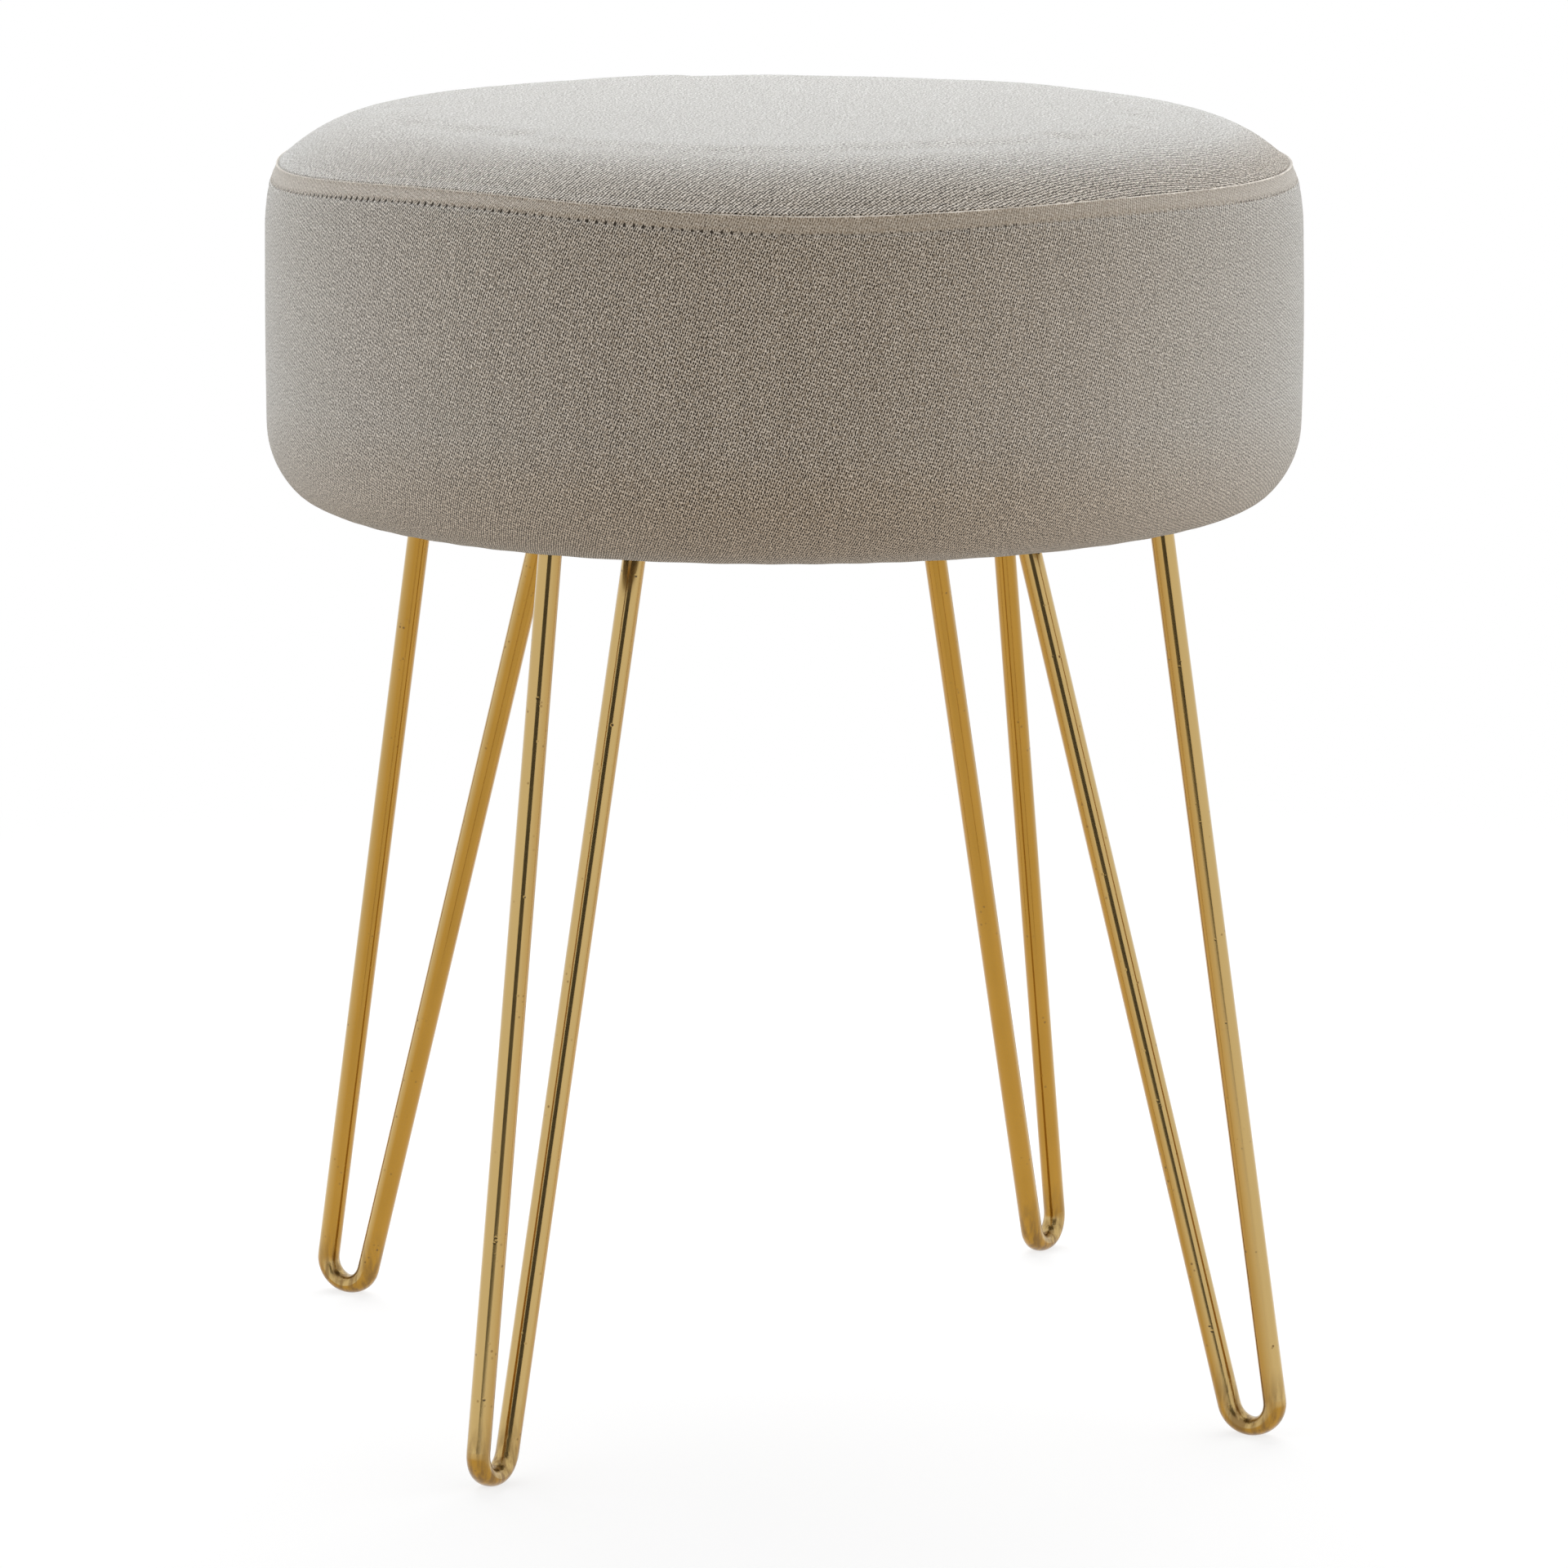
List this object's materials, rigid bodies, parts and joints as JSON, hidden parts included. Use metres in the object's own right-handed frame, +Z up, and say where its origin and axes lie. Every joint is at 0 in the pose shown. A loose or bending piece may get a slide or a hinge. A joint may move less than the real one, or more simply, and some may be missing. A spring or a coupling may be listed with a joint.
{
  "type": "ottoman",
  "caption": "Round upholstered ottoman with a crowned, seamed cloth seat on bent-rod hairpin legs, for sitting on or resting feet.",
  "frame": {"origin": "on the floor, under the middle of the seat", "axes": "+Z up along the seat's axis; the legs stand on +X (right), +Y (back), -X (left) and -Y (front)"},
  "size_m": [0.402, 0.402, 0.446],
  "materials": {
    "cover_cloth": "matte",
    "wadding": "matte",
    "foam": "matte",
    "dust_cloth": "matte",
    "plywood": "matte",
    "fibreboard": "matte",
    "pine": "matte",
    "gold_metal": "satin",
    "zinc_steel": "satin"
  },
  "bodies": {
    "root": {"base_board": "plywood", "dust_cover": "dust_cloth", "frame_hoop": "fibreboard", "frame_post_back": "pine", "frame_post_front": "pine", "frame_post_left": "pine", "frame_post_right": "pine", "hairpin_rod_back": "gold_metal", "hairpin_rod_front": "gold_metal", "hairpin_rod_left": "gold_metal", "hairpin_rod_right": "gold_metal", "leg_bolts_back": "zinc_steel", "leg_bolts_front": "zinc_steel", "leg_bolts_left": "zinc_steel", "leg_bolts_right": "zinc_steel", "leg_plate_back": "gold_metal", "leg_plate_front": "gold_metal", "leg_plate_left": "gold_metal", "leg_plate_right": "gold_metal", "leg_washers_back": "zinc_steel", "leg_washers_front": "zinc_steel", "leg_washers_left": "zinc_steel", "leg_washers_right": "zinc_steel", "leg_welds_back": "gold_metal", "leg_welds_front": "gold_metal", "leg_welds_left": "gold_metal", "leg_welds_right": "gold_metal", "post_screws_lower": "zinc_steel", "post_screws_upper": "zinc_steel", "seat_foam": "foam", "side_band": "cover_cloth", "side_foam": "foam", "tee_nuts_back": "zinc_steel", "tee_nuts_front": "zinc_steel", "tee_nuts_left": "zinc_steel", "tee_nuts_right": "zinc_steel", "top_board": "plywood", "top_panel": "cover_cloth", "wadding": "wadding"}
  },
  "joints": []
}
